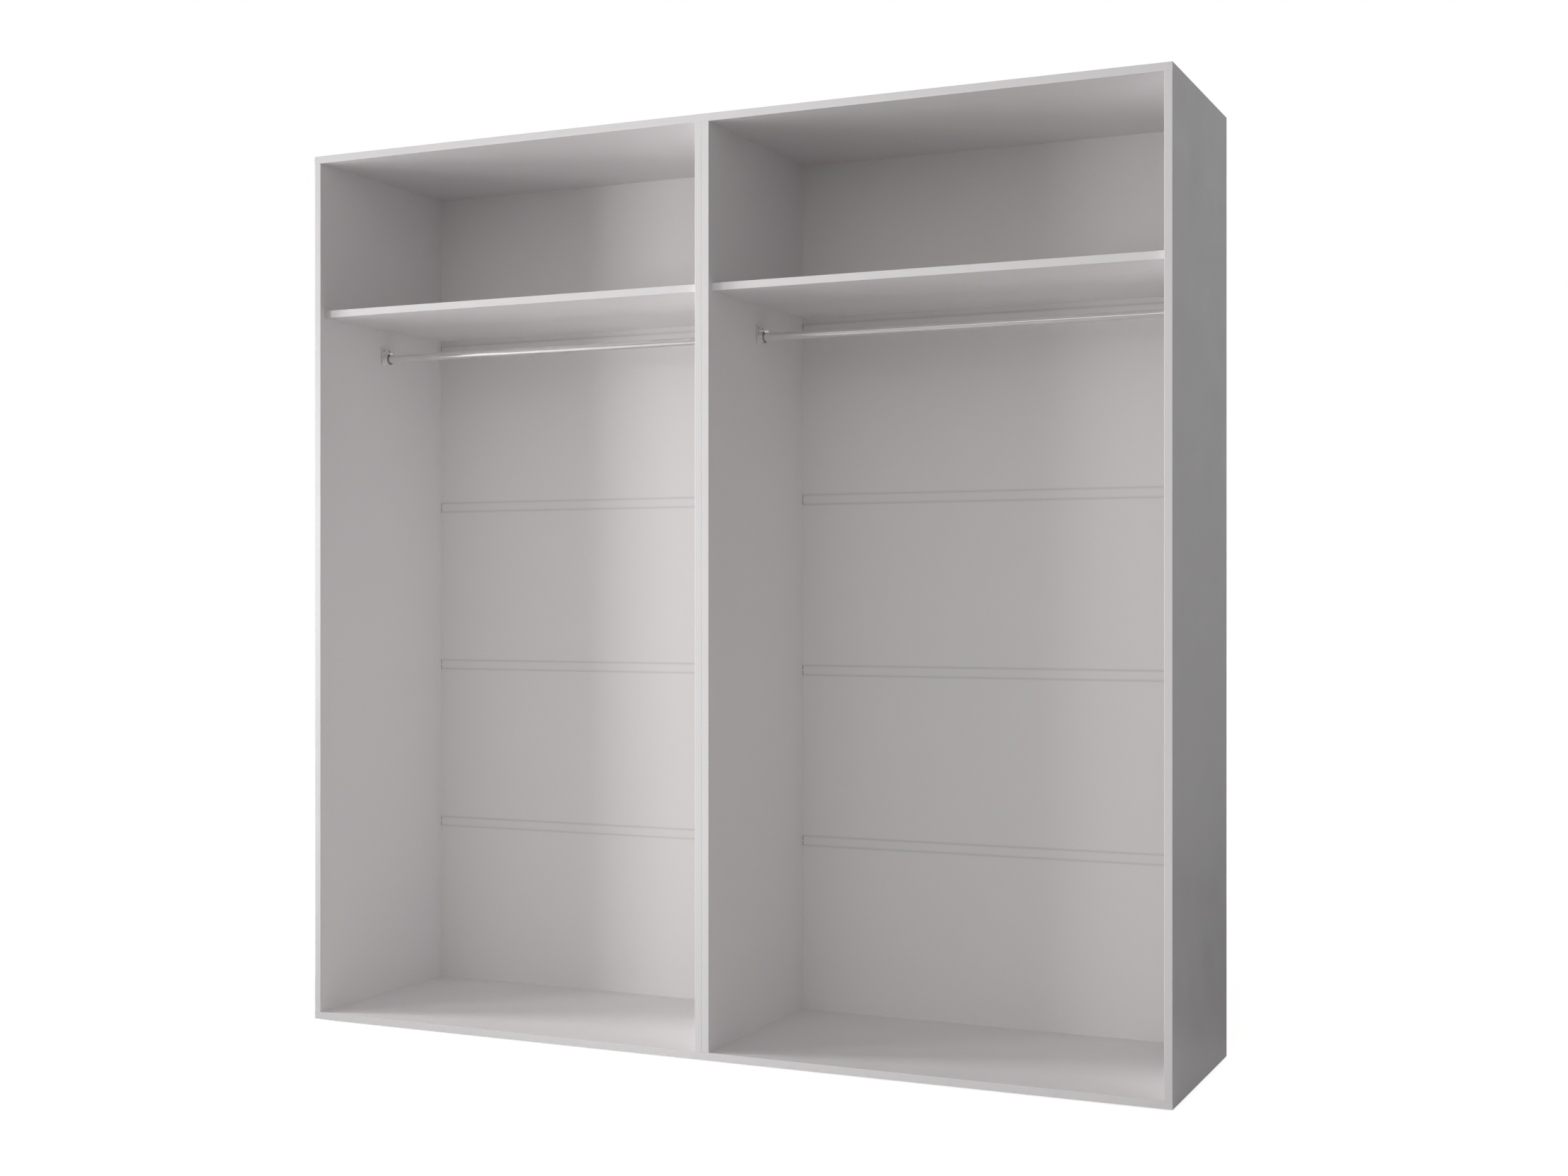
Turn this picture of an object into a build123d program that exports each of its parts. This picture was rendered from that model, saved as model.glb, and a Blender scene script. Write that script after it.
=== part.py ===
"""Body of a two-module wardrobe: carcasses, shelves, backs, hanging rails and their fittings.

The frame is +X to the right along the front, +Y towards the back and +Z up. The origin is on the floor, at
the middle of the width and of the depth. All lengths are in millimetres.
"""

import os

from build123d import *

os.makedirs("parts", exist_ok=True)

# Carcass
MODULE_WIDTH = 1100.0
CARCASS_HEIGHT = 2190.0
BOARD_DEPTH = 537.0
BOARD = 18.0
SHELF_TOP = 1800.0
SHELF_SETBACK = 18.0

# Edge bands
BAND = 1.0
BAND_ARRIS = 0.8

# Back: five sheets, one above the other, with their edges in H-shaped joiners
BACK = 3.0
BACK_INSET = 1.0
BACK_FOOT = 3.0
FIRST_JOIN = 449.2
JOIN_PITCH = 435.4
JOIN_COUNT = 4
JOINER_HEIGHT = 24.0
JOINER_WALL = 1.0
JOINER_WEB = 1.4
JOINER_END_GAP = 2.5

# Hanging rail and its sockets
RAIL_DIAMETER = 20.0
RAIL_WALL = 1.0
RAIL_DROP = 78.0
RAIL_END_PLAY = 0.5
SOCKET_FIT = 0.08
SOCKET_WIDTH = 40.0
SOCKET_ABOVE = 30.5
SOCKET_BELOW = 17.0
SOCKET_TOP_CORNER = 3.0
SOCKET_FOOT_CORNER = 10.0
SOCKET_PLATE = 3.0
SOCKET_FLOOR = 2.0
SOCKET_DEPTH = 14.5
SOCKET_EDGE = 1.2
COLLAR_DIAMETER = 30.0
COLLAR_EDGE = 0.8
SOCKET_SCREW_RISE = 22.8
SOCKET_SCREW_SPREAD = 22.0

# Fasteners
SLACK = 0.05
HOLE_ROOM = 1.0
COUNTERSINK_ANGLE = 90.0
TAPER = 1.0
RECESS_DEPTH = 1 / 4
RECESS_SPAN = 1 / 2
RECESS_WIDTH = 1 / 8
CONFIRMAT_LENGTH = 50.0
CONFIRMAT_HEAD = 10.0
CONFIRMAT_NECK = 7.0
CONFIRMAT_THREAD = 6.4
CONFIRMAT_SUNK = 0.2
CONFIRMAT_MARGIN = 45.0
CONFIRMAT_COUNT = 3
HEX_KEY = 4.0
HEX_DEPTH = 3.0
DOWEL_DIAMETER = 8.0
DOWEL_IN_PANEL = 12.0
DOWEL_IN_SIDE = 18.0
DOWEL_MARGIN = 150.0
DOWEL_END_ROOM = 0.5
DOWEL_CHAMFER = 0.8
CAM_DIAMETER = 15.0
CAM_HEIGHT = 12.5
CAM_REACH = 34.0
CAM_MARGIN = 60.0
CAM_SLOT = 8.0
CAM_CROSS = 9.0
CAM_CROSS_WIDTH = 1.5
CAM_CROSS_DEPTH = 2.25
BOLT_THREAD = 5.0
BOLT_THREAD_LENGTH = 11.0
BOLT_SHAFT = 7.0
BOLT_NECK = 4.4
BOLT_HEAD = 3.0
BOLT_BORE = 8.0
SMALL_SCREW = 3.5
SMALL_SCREW_HEAD = 6.8
SMALL_SCREW_LENGTH = 16.0
MODULE_SCREW = 4.0
MODULE_SCREW_HEAD = 8.0
MODULE_SCREW_LENGTH = 30.0
MODULE_SCREW_MARGIN = 60.0
MODULE_SCREW_HEIGHTS = (300.0, 1100.0, 1950.0)
NAIL_DIAMETER = 1.4
NAIL_HEAD = 3.6
NAIL_HEAD_HEIGHT = 0.8
NAIL_LENGTH = 20.0
NAIL_END_MARGIN = 45.0
NAIL_ROW_MARGIN = 110.0
NAILS_PER_SHEET_END = 3
NAILS_PER_PANEL = 5

# Glides
GLIDE_HEIGHT = 5.0
GLIDE_DIAMETER = 24.0
GLIDE_FOOT = 20.0
GLIDE_PEG = 5.0
GLIDE_PEG_LENGTH = 9.0
GLIDE_MARGIN = 50.0

# Derived places
CLEAR_WIDTH = MODULE_WIDTH - 2 * BOARD
OVERALL_DEPTH = BOARD_DEPTH + BACK + JOINER_WALL
Y_FRONT = -OVERALL_DEPTH / 2
Y_REAR = Y_FRONT + BOARD_DEPTH
Y_CORE = Y_FRONT + BAND
CORE_DEPTH = BOARD_DEPTH - BAND
Z_BASE = GLIDE_HEIGHT
Z_TOP = Z_BASE + CARCASS_HEIGHT
Z_SHELF = Z_BASE + SHELF_TOP
Y_SHELF = Y_FRONT + SHELF_SETBACK
SHELF_DEPTH = BOARD_DEPTH - SHELF_SETBACK
RAIL_Y = (Y_SHELF + Y_REAR) / 2
RAIL_Z = Z_SHELF - BOARD - RAIL_DROP
JOINS = [Z_BASE + FIRST_JOIN + JOIN_PITCH * step for step in range(JOIN_COUNT)]

UP, DOWN, LEFT, RIGHT, REARWARD = (0, 0, 1), (0, 0, -1), (-1, 0, 0), (1, 0, 0), (0, 1, 0)
MODULES = {"left": -MODULE_WIDTH, "right": 0.0}
SIDES = {"left": ("outer_side", "divider"), "right": ("divider", "outer_side")}


def save(piece, node):
    """Labels a finished piece and writes it as its own file."""
    piece.part.label = node
    export_step(piece.part, f"parts/{node}.step")


def facing(direction, points):
    """Planes at the points, each with its normal along the direction."""
    return [Plane(origin=point, z_dir=direction) for point in points]


def spaced(low, high, count):
    """Evenly spaced values from low to high."""
    return [low + (high - low) * step / (count - 1) for step in range(count)]


def countersunk(shank, head, depth):
    """A countersunk hole with slack for a screw's shank and head, at the builder's current locations."""
    CounterSinkHole(shank / 2 + SLACK, head / 2 + SLACK, depth, COUNTERSINK_ANGLE)


# Where the fasteners sit ------------------------------------------------------------------------------------


def confirmat_ys():
    """Depths of a corner joint's confirmat screws."""
    return spaced(Y_FRONT + CONFIRMAT_MARGIN, Y_REAR - CONFIRMAT_MARGIN, CONFIRMAT_COUNT)


def dowel_ys():
    """Depths of a corner joint's dowels."""
    return [Y_FRONT + DOWEL_MARGIN, Y_REAR - DOWEL_MARGIN]


def cam_ys():
    """Depths of the shelf's cams and bolts."""
    return [Y_SHELF + CAM_MARGIN, Y_REAR - CAM_MARGIN]


def side_xs(x):
    """Mid-thickness of a module's two side boards."""
    return [x + BOARD / 2, x + MODULE_WIDTH - BOARD / 2]


def sheet_span(level):
    """Lower and upper edge of a back sheet, counted from the lowest."""
    low = Z_BASE + BACK_FOOT if level == 0 else JOINS[level - 1] + JOINER_WEB / 2
    high = Z_TOP - BACK_INSET if level == JOIN_COUNT else JOINS[level] - JOINER_WEB / 2
    return low, high


def side_nail_zs():
    """Heights of the nails that hold the sheets to a side board."""
    heights = []
    for level in range(JOIN_COUNT + 1):
        low, high = sheet_span(level)
        heights += spaced(low + NAIL_END_MARGIN, high - NAIL_END_MARGIN, NAILS_PER_SHEET_END)
    return heights


def panel_nail_points(x, z):
    """Nails along a horizontal board's rear edge, at its mid-thickness."""
    columns = spaced(x + NAIL_ROW_MARGIN, x + MODULE_WIDTH - NAIL_ROW_MARGIN, NAILS_PER_PANEL)
    return [(column, Y_REAR, z) for column in columns]


def nail_points(x):
    """All of a module's back nails, where they enter the boards."""
    points = [(edge, Y_REAR, z) for edge in side_xs(x) for z in side_nail_zs()]
    for z in (Z_BASE + BOARD / 2, Z_SHELF - BOARD / 2, Z_TOP - BOARD / 2):
        points += panel_nail_points(x, z)
    return points


def module_screw_points(x):
    """Module screws where they cross the plane at x."""
    depths = (Y_FRONT + MODULE_SCREW_MARGIN, Y_REAR - MODULE_SCREW_MARGIN)
    return [(x, y, Z_BASE + z) for y in depths for z in MODULE_SCREW_HEIGHTS]


def socket_plane(x, inward):
    """A socket's plane on a side board's face: local Z points into the bay and local Y up."""
    return Plane(origin=(x, RAIL_Y, RAIL_Z), x_dir=(0, inward, 0), z_dir=(inward, 0, 0))


def socket_screw_points(x):
    """Screw centres of a socket on a side board's face at x."""
    rise, spread = SOCKET_SCREW_RISE, SOCKET_SCREW_SPREAD / 2
    return [(x, RAIL_Y + shift, RAIL_Z + rise) for shift in (-spread, spread)]


def glide_points(x):
    """Glide centres on the bottom panel's underside."""
    columns = (x + GLIDE_MARGIN, x + MODULE_WIDTH / 2, x + MODULE_WIDTH - GLIDE_MARGIN)
    rows = (Y_FRONT + GLIDE_MARGIN, Y_REAR - GLIDE_MARGIN)
    return [(column, row, Z_BASE) for column in columns for row in rows]


# Boards -----------------------------------------------------------------------------------------------------


def make_side(node, x, inward):
    """A side board between the top and bottom panels. Its face towards the bay looks along inward."""
    middle = x + BOARD / 2
    face = middle + inward * BOARD / 2
    bay = RIGHT if inward > 0 else LEFT
    low, high = Z_BASE + BOARD, Z_TOP - BOARD
    with BuildPart() as side:
        with BuildSketch(Plane((x, Y_CORE, low))):
            Rectangle(BOARD, CORE_DEPTH, align=Align.MIN)
        extrude(amount=high - low)
        for end, normal in ((high, UP), (low, DOWN)):
            with Locations(*facing(normal, [(middle, y, end) for y in confirmat_ys()])):
                Hole(CONFIRMAT_THREAD / 2 + SLACK, CONFIRMAT_LENGTH - BOARD + HOLE_ROOM)
            with Locations(*facing(normal, [(middle, y, end) for y in dowel_ys()])):
                Hole(DOWEL_DIAMETER / 2 + SLACK, DOWEL_IN_SIDE + DOWEL_END_ROOM)
        with Locations(*facing(bay, [(face, y, Z_SHELF - BOARD / 2) for y in cam_ys()])):
            Hole(BOLT_THREAD / 2 + SLACK, BOLT_THREAD_LENGTH + HOLE_ROOM)
        with Locations(*facing(bay, socket_screw_points(face))):
            Hole(SMALL_SCREW / 2 + SLACK, SMALL_SCREW_LENGTH - SOCKET_PLATE + HOLE_ROOM)
        with Locations(*facing(REARWARD, [(middle, Y_REAR, z) for z in side_nail_zs()])):
            Hole(NAIL_DIAMETER / 2 + SLACK, NAIL_LENGTH - BACK + HOLE_ROOM)
        if node == "left_divider":
            with Locations(*facing(LEFT, module_screw_points(x))):
                countersunk(MODULE_SCREW, MODULE_SCREW_HEAD, BOARD)
        if node == "right_divider":
            with Locations(*facing(LEFT, module_screw_points(x))):
                Hole(MODULE_SCREW / 2 + SLACK, MODULE_SCREW_LENGTH - BOARD + HOLE_ROOM)
    save(side, node)


def make_panel(node, x, z, outward, glides):
    """A top or bottom panel, z being its lower face and outward the normal of its outer face."""
    outer = z + BOARD if outward == UP else z
    inner = z if outward == UP else z + BOARD
    inward = DOWN if outward == UP else UP
    with BuildPart() as panel:
        with BuildSketch(Plane((x, Y_CORE, z))):
            Rectangle(MODULE_WIDTH, CORE_DEPTH, align=Align.MIN)
        extrude(amount=BOARD)
        screws = [(edge, y, outer) for edge in side_xs(x) for y in confirmat_ys()]
        with Locations(*facing(outward, screws)):
            countersunk(CONFIRMAT_NECK, CONFIRMAT_HEAD + 2 * CONFIRMAT_SUNK, BOARD)
        dowels = [(edge, y, inner) for edge in side_xs(x) for y in dowel_ys()]
        with Locations(*facing(inward, dowels)):
            Hole(DOWEL_DIAMETER / 2 + SLACK, DOWEL_IN_PANEL + DOWEL_END_ROOM)
        with Locations(*facing(REARWARD, panel_nail_points(x, z + BOARD / 2))):
            Hole(NAIL_DIAMETER / 2 + SLACK, NAIL_LENGTH - BACK + HOLE_ROOM)
        if glides:
            with Locations(*facing(DOWN, glide_points(x))):
                Hole(GLIDE_PEG / 2 + SLACK, GLIDE_PEG_LENGTH + HOLE_ROOM)
    save(panel, node)


def make_shelf(node, x):
    """The shelf, bored for its cams from above and for their bolts from its ends."""
    ends = {x + BOARD: LEFT, x + BOARD + CLEAR_WIDTH: RIGHT}
    with BuildPart() as shelf:
        with BuildSketch(Plane((x + BOARD, Y_SHELF + BAND, Z_SHELF - BOARD))):
            Rectangle(CLEAR_WIDTH, SHELF_DEPTH - BAND, align=Align.MIN)
        extrude(amount=BOARD)
        for end, normal in ends.items():
            with Locations(*facing(normal, [(end, y, Z_SHELF - BOARD / 2) for y in cam_ys()])):
                Hole(BOLT_BORE / 2, CAM_REACH)
            middle = end - normal[0] * CAM_REACH
            with Locations(*facing(UP, [(middle, y, Z_SHELF) for y in cam_ys()])):
                Hole(CAM_DIAMETER / 2, CAM_HEIGHT + HOLE_ROOM)
        with Locations(*facing(REARWARD, panel_nail_points(x, Z_SHELF - BOARD / 2))):
            Hole(NAIL_DIAMETER / 2 + SLACK, NAIL_LENGTH - BACK + HOLE_ROOM)
    save(shelf, node)


# Edge bands -------------------------------------------------------------------------------------------------


def make_band(node, corner, width, height):
    """A band with rounded front arrises on a front edge. Corner is its lowest point at the front."""
    with BuildPart() as band:
        with BuildSketch(Plane(corner)):
            Rectangle(width, BAND, align=Align.MIN)
        extrude(amount=height)
        along = Axis.Z if height > width else Axis.X
        fillet(band.edges().filter_by(along).group_by(Axis.Y)[0], radius=BAND_ARRIS)
    save(band, node)


def make_bands(module, x):
    """The bands on the front edges of a module's boards."""
    for left, side in zip((x, x + MODULE_WIDTH - BOARD), SIDES[module]):
        low = (left, Y_FRONT, Z_BASE + BOARD)
        make_band(f"{module}_{side}_edge_band", low, BOARD, CARCASS_HEIGHT - 2 * BOARD)
    make_band(f"{module}_bottom_edge_band", (x, Y_FRONT, Z_BASE), MODULE_WIDTH, BOARD)
    make_band(f"{module}_top_edge_band", (x, Y_FRONT, Z_TOP - BOARD), MODULE_WIDTH, BOARD)
    make_band(f"{module}_shelf_edge_band", (x + BOARD, Y_SHELF, Z_SHELF - BOARD), CLEAR_WIDTH, BOARD)


# Back -------------------------------------------------------------------------------------------------------


def make_back_sheet(node, x, level):
    """One back sheet, nailed on behind the boards."""
    low, high = sheet_span(level)
    nails = [(px, Y_REAR + BACK, pz) for px, _, pz in nail_points(x) if low < pz < high]
    with BuildPart() as sheet:
        with BuildSketch(Plane((x + BACK_INSET, Y_REAR, low))):
            Rectangle(MODULE_WIDTH - 2 * BACK_INSET, BACK, align=Align.MIN)
        extrude(amount=high - low)
        with Locations(*facing(REARWARD, nails)):
            Hole(NAIL_DIAMETER / 2 + SLACK, BACK)
    save(sheet, node)


def make_joiner(node, x, join):
    """An H-shaped strip that takes the upper sheet's lower edge and the lower sheet's upper edge."""
    start = x + BOARD + JOINER_END_GAP
    middle = Y_REAR + BACK / 2
    with BuildPart() as joiner:
        with BuildSketch(Plane(origin=(start, middle, join), x_dir=REARWARD, z_dir=RIGHT)):
            Rectangle(BACK, JOINER_WEB)
            with GridLocations(BACK + JOINER_WALL, 0, 2, 1):
                Rectangle(JOINER_WALL, JOINER_HEIGHT)
        extrude(amount=CLEAR_WIDTH - 2 * JOINER_END_GAP)
    save(joiner, node)


# Hanging rail -----------------------------------------------------------------------------------------------


def make_rail(node, x):
    """The hanging rail, a round tube whose ends sit in the sockets."""
    inset = BOARD + SOCKET_FLOOR + RAIL_END_PLAY
    with BuildPart() as rail:
        with BuildSketch(Plane(origin=(x + inset, RAIL_Y, RAIL_Z), z_dir=RIGHT)):
            Circle(RAIL_DIAMETER / 2)
            Circle(RAIL_DIAMETER / 2 - RAIL_WALL, mode=Mode.SUBTRACT)
        extrude(amount=MODULE_WIDTH - 2 * inset)
    save(rail, node)


def make_socket(node, x, inward):
    """A rail socket: a plate with a collar around the rail's end and a tab above it for two screws."""
    plane = socket_plane(x, inward)
    middle = (SOCKET_ABOVE - SOCKET_BELOW) / 2
    with BuildPart() as socket:
        with BuildSketch(plane):
            with Locations((0, middle)):
                outline = Rectangle(SOCKET_WIDTH, SOCKET_ABOVE + SOCKET_BELOW)
            fillet(outline.vertices().group_by(Axis.Y)[0], radius=SOCKET_FOOT_CORNER)
            fillet(outline.vertices().group_by(Axis.Y)[-1], radius=SOCKET_TOP_CORNER)
        extrude(amount=SOCKET_PLATE)
        outwards = Axis(plane.origin, plane.z_dir)
        fillet(socket.faces().sort_by(outwards)[-1].edges(), radius=SOCKET_EDGE)
        with BuildSketch(plane.offset(SOCKET_FLOOR)):
            Circle(COLLAR_DIAMETER / 2)
        extrude(amount=SOCKET_DEPTH - SOCKET_FLOOR)
        fillet(socket.faces().sort_by(outwards)[-1].edges(), radius=COLLAR_EDGE)
        with Locations(plane.offset(SOCKET_DEPTH)):
            Hole(RAIL_DIAMETER / 2 + SOCKET_FIT, SOCKET_DEPTH - SOCKET_FLOOR)
        chamfer(socket.faces().sort_by(outwards)[-1].inner_wires().edges(), length=COLLAR_EDGE / 2)
        screws = socket_screw_points(x + inward * SOCKET_PLATE)
        with Locations(*facing((inward, 0, 0), screws)):
            countersunk(SMALL_SCREW, SMALL_SCREW_HEAD, SOCKET_PLATE)
    save(socket, node)


# Fasteners: each is turned about local Z, with the top of its head at 0 and its shank below it --------------


def turned(outline):
    """A piece turned about local Z from its half outline, given as (radius, height) points."""
    with BuildPart() as piece:
        with BuildSketch(Plane.XZ):
            with BuildLine():
                Polyline(*outline, close=True)
            make_face()
        revolve(axis=Axis.Z)
    return piece.part


def countersunk_screw(diameter, head, length):
    """A countersunk wood screw with a cross recess."""
    cone = (head - diameter) / 2
    tip = diameter
    outline = [
        (0, 0),
        (head / 2, 0),
        (diameter / 2, -cone),
        (diameter / 2, tip - length),
        (0, -length),
    ]
    with BuildPart() as screw:
        add(turned(outline))
        with BuildSketch():
            Rectangle(head * RECESS_SPAN, head * RECESS_WIDTH)
            Rectangle(head * RECESS_WIDTH, head * RECESS_SPAN)
        extrude(amount=-head * RECESS_DEPTH, mode=Mode.SUBTRACT)
    return screw.part


def confirmat_screw():
    """A confirmat screw: a countersunk head with a hexagon socket, a neck and a thinner threaded part."""
    head, neck, thread = CONFIRMAT_HEAD / 2, CONFIRMAT_NECK / 2, CONFIRMAT_THREAD / 2
    top, foot = -CONFIRMAT_SUNK, -CONFIRMAT_LENGTH
    neck_end = TAPER - BOARD
    outline = [
        (0, top),
        (head, top),
        (neck, top - (head - neck)),
        (neck, neck_end),
        (thread, neck_end - TAPER),
        (thread, foot + thread),
        (0, foot),
    ]
    with BuildPart() as screw:
        add(turned(outline))
        with BuildSketch(Plane.XY.offset(top)):
            RegularPolygon(HEX_KEY / 2, 6, major_radius=False)
        extrude(amount=-HEX_DEPTH, mode=Mode.SUBTRACT)
    return screw.part


def dowel():
    """A fluteless wooden dowel with chamfered ends, its joint plane at local 0."""
    radius, high, low = DOWEL_DIAMETER / 2, DOWEL_IN_PANEL, -DOWEL_IN_SIDE
    rim = radius - DOWEL_CHAMFER
    outline = [
        (0, high),
        (rim, high),
        (radius, high - DOWEL_CHAMFER),
        (radius, low + DOWEL_CHAMFER),
        (rim, low),
        (0, low),
    ]
    return turned(outline)


def shelf_cam():
    """A cam: a disc, cross-slotted on top. A slot below opens along local X for the bolt's head."""
    with BuildPart() as cam:
        with BuildSketch():
            Circle(CAM_DIAMETER / 2 - SLACK)
        extrude(amount=-CAM_HEIGHT)
        with BuildSketch():
            Rectangle(CAM_CROSS, CAM_CROSS_WIDTH)
            Rectangle(CAM_CROSS_WIDTH, CAM_CROSS)
        extrude(amount=-CAM_CROSS_DEPTH, mode=Mode.SUBTRACT)
        with BuildSketch(Plane.XY.offset(-CAM_HEIGHT)):
            with Locations((-CAM_SLOT / 2, 0)):
                Rectangle(CAM_DIAMETER, CAM_SLOT, align=(Align.MIN, Align.CENTER))
        extrude(amount=CAM_HEIGHT - BOARD / 2 + CAM_SLOT / 2, mode=Mode.SUBTRACT)
    return cam.part


def cam_bolt():
    """A cam bolt. Its thread is below local 0, in the side board, and its headed shaft stands above it."""
    shaft, neck, thread = BOLT_SHAFT / 2, BOLT_NECK / 2, BOLT_THREAD / 2
    head_end = CAM_REACH + BOLT_HEAD / 2
    neck_end = CAM_REACH - BOLT_HEAD / 2
    shaft_end = CAM_REACH - CAM_DIAMETER / 2
    outline = [
        (0, head_end),
        (neck, head_end),
        (shaft, neck_end + BOLT_HEAD / 2),
        (neck, neck_end),
        (neck, shaft_end),
        (shaft, shaft_end - TAPER),
        (shaft, 0),
        (thread, 0),
        (thread, thread - BOLT_THREAD_LENGTH),
        (0, -BOLT_THREAD_LENGTH),
    ]
    return turned(outline)


def nail():
    """A flat-headed nail. Local 0 is the back sheet's rear face."""
    head, shank = NAIL_HEAD / 2, NAIL_DIAMETER / 2
    outline = [
        (0, NAIL_HEAD_HEIGHT),
        (head, NAIL_HEAD_HEIGHT),
        (head, 0),
        (shank, 0),
        (shank, shank - NAIL_LENGTH),
        (0, -NAIL_LENGTH),
    ]
    return turned(outline)


def glide():
    """A plastic glide with a peg. Local Z points down, and local 0 is the bottom panel's underside."""
    rim, foot, peg = GLIDE_DIAMETER / 2, GLIDE_FOOT / 2, GLIDE_PEG / 2
    outline = [
        (0, GLIDE_HEIGHT),
        (foot, GLIDE_HEIGHT),
        (rim, GLIDE_HEIGHT / 2),
        (rim, 0),
        (peg, 0),
        (peg, TAPER - GLIDE_PEG_LENGTH),
        (peg - TAPER, -GLIDE_PEG_LENGTH),
        (0, -GLIDE_PEG_LENGTH),
    ]
    return turned(outline)


def make_group(node, piece, planes):
    """Copies of one piece, one on each plane, kept as separate solids."""
    with BuildPart() as group:
        with Locations(*planes):
            add(piece)
    save(group, node)


def make_corner_fasteners(module, x):
    """The confirmat screws and dowels between the panels and the side boards."""
    screws = []
    dowels = []
    for normal, outer, inner in ((UP, Z_TOP, Z_TOP - BOARD), (DOWN, Z_BASE, Z_BASE + BOARD)):
        screws += facing(normal, [(edge, y, outer) for edge in side_xs(x) for y in confirmat_ys()])
        dowels += facing(normal, [(edge, y, inner) for edge in side_xs(x) for y in dowel_ys()])
    make_group(f"{module}_confirmat_screws", confirmat_screw(), screws)
    make_group(f"{module}_dowels", dowel(), dowels)


def make_shelf_fasteners(module, x):
    """The shelf's cams and cam bolts."""
    cams = []
    bolts = []
    for end, normal in ((x + BOARD, RIGHT), (x + BOARD + CLEAR_WIDTH, LEFT)):
        middle = end + normal[0] * CAM_REACH
        towards_end = (-normal[0], 0, 0)
        for y in cam_ys():
            cams.append(Plane(origin=(middle, y, Z_SHELF), x_dir=towards_end, z_dir=UP))
            bolts.append(Plane(origin=(end, y, Z_SHELF - BOARD / 2), z_dir=normal))
    make_group(f"{module}_shelf_cams", shelf_cam(), cams)
    make_group(f"{module}_shelf_cam_bolts", cam_bolt(), bolts)


def make_rail_and_sockets(module, x):
    """The hanging rail, its two sockets and their screws."""
    make_rail(f"{module}_hanging_rail", x)
    faces = ((x + BOARD, 1), (x + BOARD + CLEAR_WIDTH, -1))
    screws = []
    for (face, inward), side in zip(faces, SIDES[module]):
        make_socket(f"{module}_{side}_rail_socket", face, inward)
        screws += facing((inward, 0, 0), socket_screw_points(face + inward * SOCKET_PLATE))
    screw = countersunk_screw(SMALL_SCREW, SMALL_SCREW_HEAD, SMALL_SCREW_LENGTH)
    make_group(f"{module}_rail_socket_screws", screw, screws)


def make_back(module, x):
    """The back sheets, the joiners between them and the nails."""
    for level in range(JOIN_COUNT + 1):
        make_back_sheet(f"{module}_back_sheet_{level + 1}", x, level)
    for number, join in enumerate(JOINS, start=1):
        make_joiner(f"{module}_back_joiner_{number}", x, join)
    heads = [(px, Y_REAR + BACK, pz) for px, _, pz in nail_points(x)]
    make_group(f"{module}_back_nails", nail(), facing(REARWARD, heads))


def make_module(module, x):
    """One complete module, x being its left face."""
    faces = ((x, 1), (x + MODULE_WIDTH - BOARD, -1))
    for (left, inward), side in zip(faces, SIDES[module]):
        make_side(f"{module}_{side}", left, inward)
    make_panel(f"{module}_top_panel", x, Z_TOP - BOARD, UP, glides=False)
    make_panel(f"{module}_bottom_panel", x, Z_BASE, DOWN, glides=True)
    make_shelf(f"{module}_shelf", x)
    make_bands(module, x)
    make_back(module, x)
    make_rail_and_sockets(module, x)
    make_corner_fasteners(module, x)
    make_shelf_fasteners(module, x)
    make_group(f"{module}_glides", glide(), facing(DOWN, glide_points(x)))


for module, x in MODULES.items():
    make_module(module, x)

module_screw = countersunk_screw(MODULE_SCREW, MODULE_SCREW_HEAD, MODULE_SCREW_LENGTH)
make_group("module_screws", module_screw, facing(LEFT, module_screw_points(-BOARD)))
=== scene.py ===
"""Looks of the two-module wardrobe body: finishes, floor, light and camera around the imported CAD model.

Everything is in metres and in the CAD model's frame: +X to the right along the front, +Y towards the back
and +Z up, with the origin on the floor at the middle of the width and of the depth.
"""

import math

import bmesh
import bpy
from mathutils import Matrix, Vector


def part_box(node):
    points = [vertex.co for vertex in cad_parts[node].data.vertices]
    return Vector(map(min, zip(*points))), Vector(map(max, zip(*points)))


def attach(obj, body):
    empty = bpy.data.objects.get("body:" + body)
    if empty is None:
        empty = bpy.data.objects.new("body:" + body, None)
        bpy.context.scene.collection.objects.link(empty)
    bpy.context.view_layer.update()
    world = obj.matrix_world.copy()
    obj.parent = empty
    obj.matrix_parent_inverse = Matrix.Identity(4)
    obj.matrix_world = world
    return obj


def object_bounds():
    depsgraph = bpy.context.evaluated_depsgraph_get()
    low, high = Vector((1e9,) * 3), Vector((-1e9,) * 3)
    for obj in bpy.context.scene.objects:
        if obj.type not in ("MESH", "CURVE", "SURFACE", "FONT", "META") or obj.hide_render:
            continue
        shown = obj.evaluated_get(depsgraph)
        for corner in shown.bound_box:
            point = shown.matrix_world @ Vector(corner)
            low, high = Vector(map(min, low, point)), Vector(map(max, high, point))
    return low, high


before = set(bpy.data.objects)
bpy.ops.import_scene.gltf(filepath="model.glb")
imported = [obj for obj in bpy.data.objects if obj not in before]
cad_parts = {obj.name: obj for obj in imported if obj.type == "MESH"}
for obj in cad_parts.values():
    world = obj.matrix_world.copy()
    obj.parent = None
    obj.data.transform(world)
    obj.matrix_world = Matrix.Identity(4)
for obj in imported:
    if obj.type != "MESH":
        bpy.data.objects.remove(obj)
cad_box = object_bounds()

# Sizes, in metres
LOW, HIGH = cad_box
HALF_WIDTH = (HIGH.x - LOW.x) / 2
END_FACE_DEPTH = 0.0005
JOINS = 4
JOINER_SHADE_REACH = 0.0045
BAND_SHADE_HEIGHT = 0.5
SOCKET_PLATE = 0.0036
LUG_REACH = 0.024
LUG_HEIGHT = 0.0055
LUG_CLEARANCE = 0.00045
LUG_ROUNDING = 0.001
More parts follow.
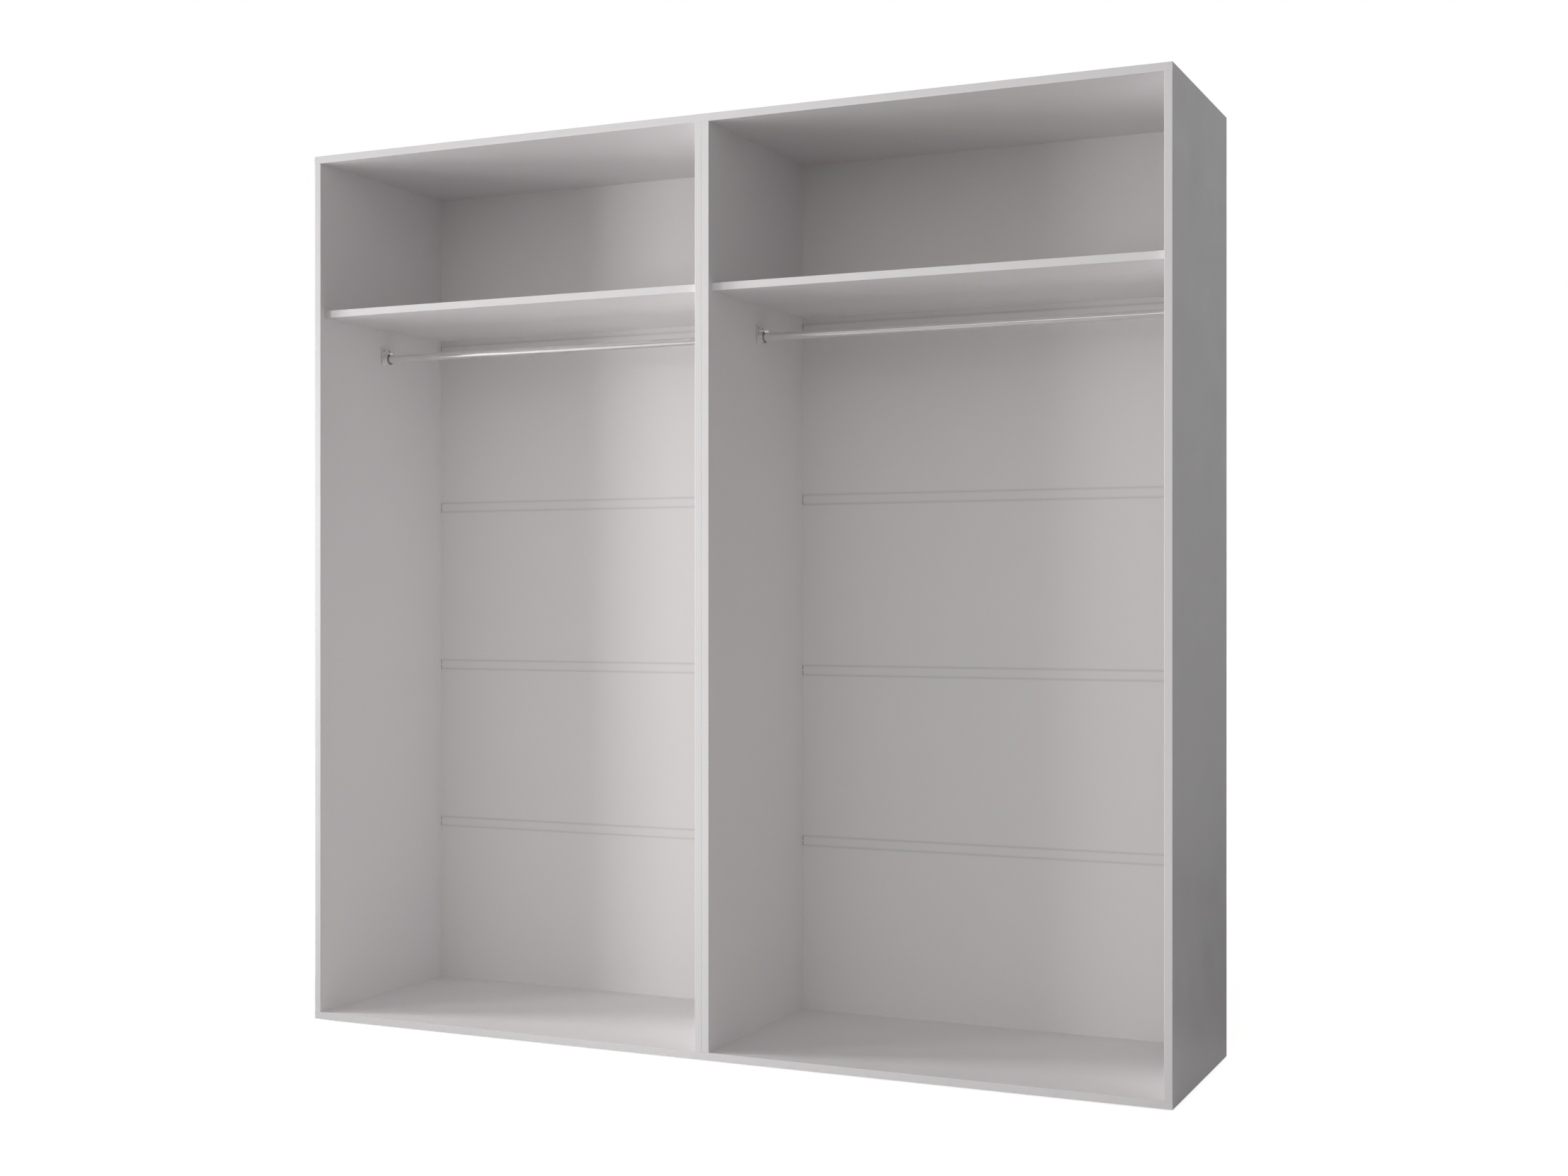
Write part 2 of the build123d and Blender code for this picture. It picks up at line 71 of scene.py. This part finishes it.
# The lug's outline around the rail's axis: its front and rear at the root, and at the tip
LUG_ROOT_FRONT, LUG_TIP_FRONT, LUG_REAR = -0.007, 0.0004, 0.005

# Colours, as linear RGB
WHITE = (0.810, 0.786, 0.788, 1)
WHITE_COOL = (0.799, 0.778, 0.783, 1)
BAND_WHITE = (0.838, 0.815, 0.818, 1)
BAND_WORN = (0.866, 0.848, 0.848, 1)
# painted shade for the edge band, laid on towards the floor and towards the left
BAND_PAINTED_SHADE = (0.520, 0.502, 0.507, 1)
BACK_WHITE = (0.806, 0.781, 0.783, 1)
BACK_WHITE_WARM = (0.810, 0.783, 0.780, 1)
BACK_SHADE = (0.690, 0.666, 0.672, 1)
GAP_SHADE = (0.380, 0.360, 0.364, 1)
JOINER_WHITE = (0.800, 0.776, 0.778, 1)
CHIP_DARK = (0.230, 0.140, 0.075, 1)
CHIP_LIGHT = (0.520, 0.370, 0.220, 1)
FIBRE_DARK = (0.150, 0.085, 0.045, 1)
FIBRE_LIGHT = (0.290, 0.180, 0.100, 1)
RAIL_BRIGHT = (0.90, 0.88, 0.87, 1)
RAIL_HAZY = (0.84, 0.82, 0.81, 1)
SOCKET_BRIGHT = (0.93, 0.91, 0.90, 1)
SOCKET_HAZY = (0.86, 0.84, 0.83, 1)
# painted shade for the sockets' rims and the collars' end faces
SOCKET_PAINTED_SHADE = (0.40, 0.38, 0.38, 1)
BEECH_DARK = (0.48, 0.30, 0.16, 1)
BEECH_LIGHT = (0.76, 0.56, 0.36, 1)
GLIDE_LIGHT = (0.74, 0.73, 0.71, 1)
GLIDE_DARK = (0.66, 0.65, 0.62, 1)
FLOOR_DARK = (0.80, 0.80, 0.80, 1)
FLOOR_LIGHT = (0.82, 0.82, 0.82, 1)

# The studio's wide white glows, in round numbers near those of a fit to the wanted tones, as the lamps' are:
# azimuth from the front towards the left, elevation, focus, strength
GLOWS = {
    "front": (0, 10, 8, 1.1),
    "right": (-70, 10, 6, 0.4),
    "rear right": (-160, 10, 6, 0.4),
    "rear left": (140, 10, 6, 0.25),
    "front above": (0, 55, 6, 0.4),
    "rear above": (180, 45, 6, 0.5),
}
LAMP_AIM = 1.3
FLOOR_SIZE = 80
FLOOR_GLOW = 0.80
# How bright the far floor and the backdrop are towards the front, against 1 behind the wardrobe
DIM_FLOOR = 0.72
DIM_BACKDROP = 0.85

# Finishes ---------------------------------------------------------------------------------------------------


class Finish:
    """A procedural material being built around one Principled shader."""

    def __init__(self, name, **uniform):
        self.material = bpy.data.materials.new(name)
        self.material.use_nodes = True
        self.tree = self.material.node_tree
        self.shader = self.tree.nodes["Principled BSDF"]
        coordinates = self.add("ShaderNodeTexCoord")
        self.place = coordinates.outputs["Object"]
        self.facing = coordinates.outputs["Normal"]
        for socket, value in uniform.items():
            self.shader.inputs[socket.replace("_", " ")].default_value = value

    def add(self, kind, **settings):
        """A node of that kind with its settings."""
        node = self.tree.nodes.new(kind)
        for setting, value in settings.items():
            setattr(node, setting, value)
        return node

    def feed(self, socket, value):
        """Links the value to the socket if it is another node's output, and sets it if it is a number."""
        if isinstance(value, bpy.types.NodeSocket):
            self.tree.links.new(value, socket)
        else:
            socket.default_value = value

    def shade(self, socket, value):
        """Feeds one of the shader's sockets."""
        self.feed(self.shader.inputs[socket], value)

    def noise(self, size, stretch=(1, 1, 1), detail=2.0, roughness=0.5):
        """Noise with features of about that size in metres, longer along the axes that stretch names."""
        mapping = self.add("ShaderNodeMapping")
        self.feed(mapping.inputs["Vector"], self.place)
        mapping.inputs["Scale"].default_value = [1 / factor for factor in stretch]
        noise = self.add("ShaderNodeTexNoise")
        self.feed(noise.inputs["Vector"], mapping.outputs["Vector"])
        noise.inputs["Scale"].default_value = 1 / size
        noise.inputs["Detail"].default_value = detail
        noise.inputs["Roughness"].default_value = roughness
        return noise.outputs["Fac"]

    def cells(self, size, stretch=(1, 1, 1), output="Color"):
        """Cells of about that size in metres, each with a random value of its own."""
        mapping = self.add("ShaderNodeMapping")
        self.feed(mapping.inputs["Vector"], self.place)
        mapping.inputs["Scale"].default_value = [1 / factor for factor in stretch]
        voronoi = self.add("ShaderNodeTexVoronoi")
        self.feed(voronoi.inputs["Vector"], mapping.outputs["Vector"])
        voronoi.inputs["Scale"].default_value = 1 / size
        return voronoi.outputs[output]

    def span(self, value, low, high, start=0.0, stop=1.0):
        """The value carried from start..stop to low..high, held at both ends."""
        node = self.add("ShaderNodeMapRange")
        for socket, number in zip(node.inputs[:5], (value, start, stop, low, high)):
            self.feed(socket, number)
        return node.outputs["Result"]

    def mix(self, share, first, second):
        """The second colour over the first by that share."""
        node = self.add("ShaderNodeMix", data_type="RGBA")
        for socket, value in zip((node.inputs[0], node.inputs[6], node.inputs[7]), (share, first, second)):
            self.feed(socket, value)
        return node.outputs[2]

    def sum(self, operation, first, second=0.0):
        """One operation on numbers."""
        node = self.add("ShaderNodeMath", operation=operation)
        self.feed(node.inputs[0], first)
        self.feed(node.inputs[1], second)
        return node.outputs["Value"]

    def part(self, vector, axis):
        """One component of a vector, x, y or z."""
        node = self.add("ShaderNodeSeparateXYZ")
        self.feed(node.inputs["Vector"], vector)
        return node.outputs[axis.upper()]

    def looks_along(self, axis):
        """1 on faces that look either way along an axis."""
        return self.sum("GREATER_THAN", self.sum("ABSOLUTE", self.part(self.facing, axis)), 0.7)

    def bump(self, height, depth, under=None):
        """A normal bent by the height, whose full range is that depth in metres."""
        node = self.add("ShaderNodeBump")
        node.inputs["Strength"].default_value = 1.0
        node.inputs["Distance"].default_value = depth
        self.feed(node.inputs["Height"], height)
        if under is not None:
            self.feed(node.inputs["Normal"], under)
        return node.outputs["Normal"]


def chipboard_core(finish):
    """Colour and height of sawn chipboard: flakes a few millimetres long, lying in the board's plane."""
    flakes = finish.cells(0.0022, stretch=(1.5, 1, 2.2))
    dust = finish.noise(0.0008, detail=3.0)
    tone = finish.sum("MULTIPLY", finish.part(flakes, "x"), dust)
    return finish.mix(finish.span(tone, 0, 1, 0.05, 0.5), CHIP_DARK, CHIP_LIGHT), dust


def melamine(name, face_axis):
    """White melamine-faced chipboard with a fine pearl texture. Sawn faces and bores show the chipboard."""
    finish = Finish(name, IOR=1.5)
    across = finish.sum("ABSOLUTE", finish.part(finish.place, "x"))
    outer_end = finish.sum("GREATER_THAN", across, HALF_WIDTH - END_FACE_DEPTH)
    covered = finish.sum("MAXIMUM", finish.looks_along(face_axis), outer_end)
    tone = finish.span(finish.noise(0.55, detail=1.0), 0, 1, 0.3, 0.7)
    paper = finish.mix(tone, WHITE, WHITE_COOL)
    core, dust = chipboard_core(finish)
    pearl = finish.noise(0.0011, detail=3.0, roughness=0.6)
    handled = finish.noise(0.12, detail=3.0)
    gloss = finish.sum("ADD", finish.span(pearl, -0.05, 0.05), finish.span(handled, 0.36, 0.48, 0.3, 0.7))
    finish.shade("Base Color", finish.mix(covered, core, paper))
    finish.shade("Roughness", finish.span(covered, 0.9, gloss))
    height = finish.sum("ADD", finish.sum("MULTIPLY", pearl, covered), dust)
    finish.shade("Normal", finish.bump(height, 0.00003))
    return finish.material


def edge_band():
    """ABS edge band: a little lighter and smoother than the boards, with the drag lines of its extrusion.

    Painted shade greys it towards the floor and the left, where the key light lights it more strongly than it
    should.
    """
    finish = Finish("edge_band_looks", IOR=1.5)
    drag = finish.noise(0.0006, stretch=(60, 1, 60), detail=2.0)
    rub = finish.noise(0.05, detail=4.0, roughness=0.6)
    arris = finish.sum("ABSOLUTE", finish.part(finish.facing, "y"))
    worn = finish.sum("MULTIPLY", finish.span(arris, 1, 0, 0.75, 0.98), finish.span(rub, 0, 1, 0.45, 0.7))
    band = finish.mix(worn, BAND_WHITE, BAND_WORN)
    # painted shade: the band's colour is greyed towards the floor and towards the left end
    painted_shade_low = finish.span(finish.part(finish.place, "z"), 0.26, 0, 0.02, BAND_SHADE_HEIGHT)
    painted_shade_left = finish.span(finish.part(finish.place, "x"), 0.68, 0, LOW.x, 0)
    finish.shade("Base Color", finish.mix(finish.sum("ADD", painted_shade_low, painted_shade_left), band, BAND_PAINTED_SHADE))
    finish.shade("Roughness", finish.span(rub, 0.30, 0.42, 0.3, 0.7))
    finish.shade("Normal", finish.bump(drag, 0.00001))
    return finish.material


def beyond_joiner(finish):
    """How far a point lies above or below the nearest joiner strip, in metres: negative within its height."""
    low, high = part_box("left_back_joiner_1")
    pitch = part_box("left_back_joiner_2")[0].z - low.z
    height = finish.sum("SUBTRACT", finish.part(finish.place, "z"), (low.z + high.z - pitch) / 2)
    offset = finish.sum("SUBTRACT", finish.sum("MODULO", height, pitch), pitch / 2)
    beyond = finish.sum("SUBTRACT", finish.sum("ABSOLUTE", offset), (high.z - low.z) / 2)
    under, over = finish.sum("LESS_THAN", height, 0.0), finish.sum("GREATER_THAN", height, pitch * JOINS)
    return finish.sum("ADD", beyond, finish.sum("ADD", under, over))


def soft_line(finish, distance):
    """1 where the distance is nil, falling to 0 at the reach of a joiner's soft shadow."""
    return finish.span(finish.sum("ABSOLUTE", distance), 1, 0, 0.0, JOINER_SHADE_REACH)


def painted_hardboard():
    """Hardboard, lacquered on the side that looks into the bays. Its rear and its edges are raw brown fibre."""
    finish = Finish("back_sheet_looks", IOR=1.45)
    front = finish.sum("LESS_THAN", finish.part(finish.facing, "y"), -0.7)
    cloud = finish.noise(0.4, detail=2.0)
    lacquer = finish.mix(finish.span(cloud, 0, 1, 0.3, 0.7), BACK_WHITE, BACK_WHITE_WARM)
    fibre = finish.noise(0.0015, stretch=(2, 1, 1), detail=6.0, roughness=0.75)
    blotch = finish.noise(0.08, detail=3.0)
    beyond = beyond_joiner(finish)
    lacquer = finish.mix(soft_line(finish, beyond), lacquer, BACK_SHADE)
    lacquer = finish.mix(finish.sum("LESS_THAN", beyond, 0.0), lacquer, GAP_SHADE)
    raw_tone = finish.sum("ADD", finish.sum("MULTIPLY", fibre, 0.7), finish.sum("MULTIPLY", blotch, 0.3))
    raw = finish.mix(finish.span(raw_tone, 0, 1, 0.35, 0.65), FIBRE_DARK, FIBRE_LIGHT)
    peel = finish.noise(0.003, detail=1.0)
    finish.shade("Base Color", finish.mix(front, raw, lacquer))
    finish.shade("Roughness", finish.span(front, 0.75, finish.span(peel, 0.46, 0.56, 0.3, 0.7)))
    height = finish.sum("ADD", finish.sum("MULTIPLY", peel, front), finish.sum("MULTIPLY", fibre, 0.6))
    finish.shade("Normal", finish.bump(height, 0.00004))
    return finish.material


def joiner_plastic():
    """White PVC, extruded along the strip."""
    finish = Finish("back_joiner_looks", IOR=1.5)
    drag = finish.noise(0.0007, stretch=(80, 1, 1), detail=2.0)
    cloud = finish.noise(0.2, detail=2.0)
    plastic = finish.mix(finish.span(cloud, 0, 1, 0.35, 0.65), JOINER_WHITE, BACK_WHITE)
    finish.shade("Base Color", finish.mix(soft_line(finish, beyond_joiner(finish)), plastic, BACK_SHADE))
    finish.shade("Roughness", finish.span(drag, 0.36, 0.46, 0.3, 0.7))
    finish.shade("Normal", finish.bump(drag, 0.000015))
    return finish.material


def chromed_tube():
    """Bright chrome with the fine lengthwise marks that hangers leave."""
    finish = Finish("rail_chrome_looks", Metallic=1.0)
    hairline = finish.noise(0.0004, stretch=(150, 1, 1), detail=3.0)
    haze = finish.noise(0.03, stretch=(3, 1, 1), detail=3.0)
    finish.shade("Base Color", finish.mix(finish.span(haze, 0, 1, 0.35, 0.7), RAIL_BRIGHT, RAIL_HAZY))
    scratches, dullness = finish.span(hairline, -0.03, 0.05, 0.4, 0.75), finish.span(haze, 0.17, 0.25, 0.3, 0.7)
    finish.shade("Roughness", finish.sum("ADD", scratches, dullness))
    finish.shade("Normal", finish.bump(hairline, 0.000004))
    return finish.material


def cast_metal(name, light, dark, smooth, rough, grain):
    """Plated or bare metal whose tone and roughness follow a fine cast grain of that size."""
    finish = Finish(name, Metallic=1.0)
    skin = finish.noise(grain, detail=4.0, roughness=0.6)
    haze = finish.noise(grain * 12, detail=3.0)
    finish.shade("Base Color", finish.mix(finish.span(haze, 0, 1, 0.3, 0.7), light, dark))
    finish.shade("Roughness", finish.span(skin, smooth, rough, 0.3, 0.7))
    finish.shade("Normal", finish.bump(skin, grain / 100))
    return finish.material


def socket_metal():
    """Satin plated die-cast metal. The plates' rims and the collars' end faces are rougher, and darkened with
    painted shade.
    """
    finish = Finish("socket_chrome_looks", Metallic=1.0)
    skin = finish.noise(0.0008, detail=4.0, roughness=0.6)
    haze = finish.noise(0.01, detail=3.0)
    face = finish.mix(finish.span(haze, 0, 1, 0.3, 0.7), SOCKET_BRIGHT, SOCKET_HAZY)
    outer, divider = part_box("right_outer_side_rail_socket"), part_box("right_divider_rail_socket")
    across = finish.sum("ABSOLUTE", finish.part(finish.place, "x"))
    proud = finish.sum("MULTIPLY", finish.sum("GREATER_THAN", across, divider[0].x + SOCKET_PLATE),
                       finish.sum("LESS_THAN", across, outer[1].x - SOCKET_PLATE))
    # painted shade: the collars' end faces and the plates' sideways rims are darkened, and also made rougher
    ends = finish.sum("MULTIPLY", proud, finish.looks_along("x"))
    sideways = finish.span(finish.sum("ABSOLUTE", finish.part(finish.facing, "y")), 0, 1, 0.25, 0.6)
    rims = finish.sum("MULTIPLY", sideways, finish.sum("SUBTRACT", 1.0, proud))
    dull_and_shaded = finish.sum("MAXIMUM", ends, finish.sum("MULTIPLY", rims, 0.55))
    finish.shade("Base Color", finish.mix(dull_and_shaded, face, SOCKET_PAINTED_SHADE))
    satin = finish.span(skin, 0.36, 0.48, 0.3, 0.7)
    finish.shade("Roughness", finish.sum("ADD", satin, finish.span(dull_and_shaded, 0, 0.1)))
    finish.shade("Normal", finish.bump(skin, 0.000008))
    return finish.material


def beech():
    """Raw beech dowels, their grain along the dowel."""
    finish = Finish("beech_looks")
    grain = finish.noise(0.0008, stretch=(1, 1, 14), detail=4.0)
    flecks = finish.cells(0.0012, stretch=(1, 1, 3), output="Distance")
    tone = finish.sum("ADD", grain, finish.sum("MULTIPLY", flecks, 0.2))
    finish.shade("Base Color", finish.mix(finish.span(tone, 0, 1, 0.35, 0.75), BEECH_DARK, BEECH_LIGHT))
    finish.shade("Roughness", finish.span(grain, 0.6, 0.8, 0.3, 0.7))
    finish.shade("Normal", finish.bump(grain, 0.00008))
    return finish.material


def glide_plastic():
    """Moulded polyethylene, waxy and slightly clouded."""
    finish = Finish("glide_plastic_looks", Subsurface_Weight=0.1)
    cloud = finish.noise(0.006, detail=3.0)
    scuff = finish.noise(0.001, detail=4.0, roughness=0.7)
    finish.shade("Base Color", finish.mix(finish.span(cloud, 0, 1, 0.3, 0.7), GLIDE_LIGHT, GLIDE_DARK))
    finish.shade("Roughness", finish.span(scuff, 0.4, 0.62, 0.3, 0.7))
    finish.shade("Normal", finish.bump(scuff, 0.00003))
    return finish.material


FINISHES = {
    "edge_band": edge_band(),
    "back_sheet": painted_hardboard(),
    "back_joiner": joiner_plastic(),
    "rail_chrome": chromed_tube(),
    "socket_chrome": socket_metal(),
    "zinc_steel": cast_metal("zinc_steel_looks", (0.66, 0.67, 0.68, 1), (0.58, 0.56, 0.50, 1), 0.25, 0.42, 0.0005),
    "cam_zinc": cast_metal("cam_zinc_looks", (0.56, 0.56, 0.57, 1), (0.44, 0.44, 0.45, 1), 0.38, 0.55, 0.0006),
    "nail_steel": cast_metal("nail_steel_looks", (0.55, 0.55, 0.54, 1), (0.40, 0.39, 0.38, 1), 0.28, 0.48, 0.0004),
    "beech": beech(),
    "glide_plastic": glide_plastic(),
}
UPRIGHT_BOARD = melamine("white_board_upright_looks", "x")
FLAT_BOARD = melamine("white_board_flat_looks", "z")

for node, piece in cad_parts.items():
    for place in piece.material_slots:
        if place.material.name == "white_board":
            place.material = FLAT_BOARD if node.endswith(("panel", "shelf")) else UPRIGHT_BOARD
        else:
            place.material = FINISHES[place.material.name]


# Pieces that the CAD model leaves out ---------------------------------------------------------------------------


def make_lug(socket, outwards):
    """The polished lug on a rail socket's collar, a wedge that lies above the rail and looks to the front."""
    low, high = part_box(socket)
    rail_low, rail_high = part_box(socket.split("_")[0] + "_hanging_rail")
    axis = (rail_low + rail_high) / 2
    root, tip = (low.x, low.x + LUG_REACH) if outwards > 0 else (high.x, high.x - LUG_REACH)
    sole = rail_high.z + LUG_CLEARANCE
    plan = ((root, LUG_ROOT_FRONT), (tip, LUG_TIP_FRONT), (tip, LUG_REAR), (root, LUG_REAR))
    mesh = bpy.data.meshes.new(socket + "_lug")
    shape = bmesh.new()
    foot = shape.faces.new([shape.verts.new((x, axis.y + y, sole)) for x, y in plan])
    raised = bmesh.ops.extrude_face_region(shape, geom=[foot])["geom"]
    corners = [part for part in raised if isinstance(part, bmesh.types.BMVert)]
    bmesh.ops.translate(shape, vec=(0, 0, LUG_HEIGHT), verts=corners)
    bmesh.ops.recalc_face_normals(shape, faces=shape.faces)
    bmesh.ops.bevel(shape, geom=shape.edges[:], offset=LUG_ROUNDING, segments=3, affect="EDGES")
    shape.to_mesh(mesh)
    shape.free()
    lug = bpy.data.objects.new(socket + "_lug", mesh)
    bpy.context.scene.collection.objects.link(lug)
    mesh.materials.append(POLISHED)
    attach(lug, "carcass")
    return lug


POLISHED = cast_metal("socket_lug_looks", (0.66, 0.64, 0.64, 1), (0.58, 0.56, 0.56, 1), 0.20, 0.28, 0.0008)
for module in ("left", "right"):
    for board in ("outer_side", "divider"):
        make_lug(f"{module}_{board}_rail_socket", 1 if (module == "left") == (board == "outer_side") else -1)


# Floor, light and camera ------------------------------------------------------------------------------------


def make_floor():
    """A large plain floor, pale enough to run into the white surroundings."""
    bpy.ops.mesh.primitive_plane_add(size=FLOOR_SIZE, location=(0, 0, 0))
    floor = bpy.context.object
    floor.name = "floor"
    finish = Finish("floor_looks", Specular_IOR_Level=0.2, Emission_Color=(1, 1, 1, 1))
    finish.shade("Base Color", finish.mix(finish.noise(1.5, detail=2.0), FLOOR_DARK, FLOOR_LIGHT))
    finish.shade("Roughness", finish.span(finish.noise(0.2), 0.75, 0.85))
    seen = finish.add("ShaderNodeLightPath").outputs["Is Camera Ray"]
    fade = finish.span(finish.part(finish.place, "y"), DIM_FLOOR, 1, -7, -2)
    finish.shade("Emission Strength", finish.sum("MULTIPLY", finish.sum("MULTIPLY", seen, fade), FLOOR_GLOW))
    floor.data.materials.append(finish.material)
    return floor


def make_card(name, centre, turn, size, tone):
    """A plain studio card that the camera doesn't see."""
    bpy.ops.mesh.primitive_plane_add(size=1, location=centre, rotation=turn)
    card = bpy.context.object
    card.name = name
    card.scale = (*size, 1)
    card.visible_camera = card.visible_diffuse = card.visible_transmission = False
    finish = Finish(name + "_looks", Specular_IOR_Level=0.0)
    dark, light = ((grey, grey, grey, 1) for grey in (tone, tone * 1.2))
    finish.shade("Base Color", finish.mix(finish.noise(0.5), dark, light))
    card.data.materials.append(finish.material)
    return card


def make_cards():
    """One card lies at the rear right, for a dim reflection low on the glossy outer side.

    The other stands off the left outer side, which the side light would burn out.
    """
    dim = make_card("reflector", (HIGH.x + 0.65, HIGH.y + 2.1, 0.003), (0, 0, 0), (1.2, 4.0), 0.02)
    dim.visible_shadow = False
    front, rear, foot, top = LOW.y - 0.06, HIGH.y + 0.8, 0.01, HIGH.z + 0.5
    middle = (LOW.x - 0.4, (front + rear) / 2, (foot + top) / 2)
    shade = make_card("shade", middle, (0, math.radians(90), 0), (top - foot, rear - front), 0.5)
    shade.visible_glossy = False


def softbox(name, azimuth, distance, rise, width, height, power):
    """A white soft light that faces the front's middle from that azimuth and distance, and isn't seen itself."""
    target = Vector((0, LOW.y, LAMP_AIM))
    data = bpy.data.lights.new(name, "AREA")
    data.shape = "RECTANGLE"
    data.size, data.size_y = width, height
    data.energy = power
    lamp = bpy.data.objects.new(name, data)
    lamp.location = target + direction(azimuth, 0) * distance + Vector((0, 0, rise))
    lamp.rotation_euler = (target - lamp.location).to_track_quat("-Z", "Y").to_euler()
    lamp.visible_camera = False
    bpy.context.scene.collection.objects.link(lamp)
    return lamp


def direction(azimuth, elevation):
    """The unit vector towards an azimuth, from the front towards the left, and an elevation, in degrees."""
    azimuth, elevation = math.radians(azimuth), math.radians(elevation)
    level = math.cos(elevation)
    return Vector((-math.sin(azimuth) * level, -math.cos(azimuth) * level, math.sin(elevation)))


def make_surroundings():
    """Soft light from all round, in wide glows. The camera sees plain white instead, dimmer at the front."""
    world = bpy.data.worlds.new("studio")
    world.use_nodes = True
    bpy.context.scene.world = world
    nodes, links = world.node_tree.nodes, world.node_tree.links
    towards = nodes.new("ShaderNodeTexCoord").outputs["Generated"]
    total = None
    for azimuth, elevation, focus, strength in GLOWS.values():
        facing = nodes.new("ShaderNodeVectorMath")
        facing.operation = "DOT_PRODUCT"
        facing.inputs[1].default_value = direction(azimuth, elevation)
        links.new(towards, facing.inputs[0])
        ahead = nodes.new("ShaderNodeMath")
        ahead.operation = "MAXIMUM"
        links.new(facing.outputs["Value"], ahead.inputs[0])
        ahead.inputs[1].default_value = 0
        fall = nodes.new("ShaderNodeMath")
        fall.operation = "POWER"
        links.new(ahead.outputs["Value"], fall.inputs[0])
        fall.inputs[1].default_value = focus
        glow = nodes.new("ShaderNodeVectorMath")
        glow.operation = "SCALE"
        glow.inputs[0].default_value = (strength, strength, strength)
        links.new(fall.outputs["Value"], glow.inputs["Scale"])
        if total is None:
            total = glow.outputs["Vector"]
            continue
        both = nodes.new("ShaderNodeVectorMath")
        links.new(total, both.inputs[0])
        links.new(glow.outputs["Vector"], both.inputs[1])
        total = both.outputs["Vector"]
    ambient = nodes["Background"]
    links.new(total, ambient.inputs["Color"])
    backdrop = nodes.new("ShaderNodeBackground")
    depth = nodes.new("ShaderNodeSeparateXYZ")
    links.new(towards, depth.inputs["Vector"])
    dim = nodes.new("ShaderNodeMapRange")
    links.new(depth.outputs["Y"], dim.inputs["Value"])
    for socket, value in zip(dim.inputs[1:5], (-0.1, 0.5, DIM_BACKDROP, 1)):
        socket.default_value = value
    links.new(dim.outputs["Result"], backdrop.inputs["Strength"])
    backdrop.inputs["Color"].default_value = (1, 1, 1, 1)
    seen = nodes.new("ShaderNodeLightPath")
    either = nodes.new("ShaderNodeMixShader")
    links.new(seen.outputs["Is Camera Ray"], either.inputs["Fac"])
    links.new(ambient.outputs["Background"], either.inputs[1])
    links.new(backdrop.outputs["Background"], either.inputs[2])
    links.new(either.outputs["Shader"], nodes["World Output"].inputs["Surface"])


def make_camera():
    """The camera: level, to the right of the wardrobe and turned towards it."""
    data = bpy.data.cameras.new("camera")
    data.lens = 45.66
    data.sensor_width = 36.0
    data.shift_x, data.shift_y = -0.0040, 0.0059
    camera = bpy.data.objects.new("camera", data)
    camera.location = (2.0755, -4.3843, 1.0759)
    camera.rotation_euler = (math.radians(90), 0, math.radians(24.22))
    bpy.context.scene.collection.objects.link(camera)
    bpy.context.scene.camera = camera


make_floor()
make_cards()
make_surroundings()
softbox("key", azimuth=55, distance=5.5, rise=0.1, width=1.0, height=1.2, power=80)
softbox("side", azimuth=75, distance=7, rise=0.7, width=1.5, height=3.5, power=400)
make_camera()
bpy.context.scene.view_settings.view_transform = "Standard"
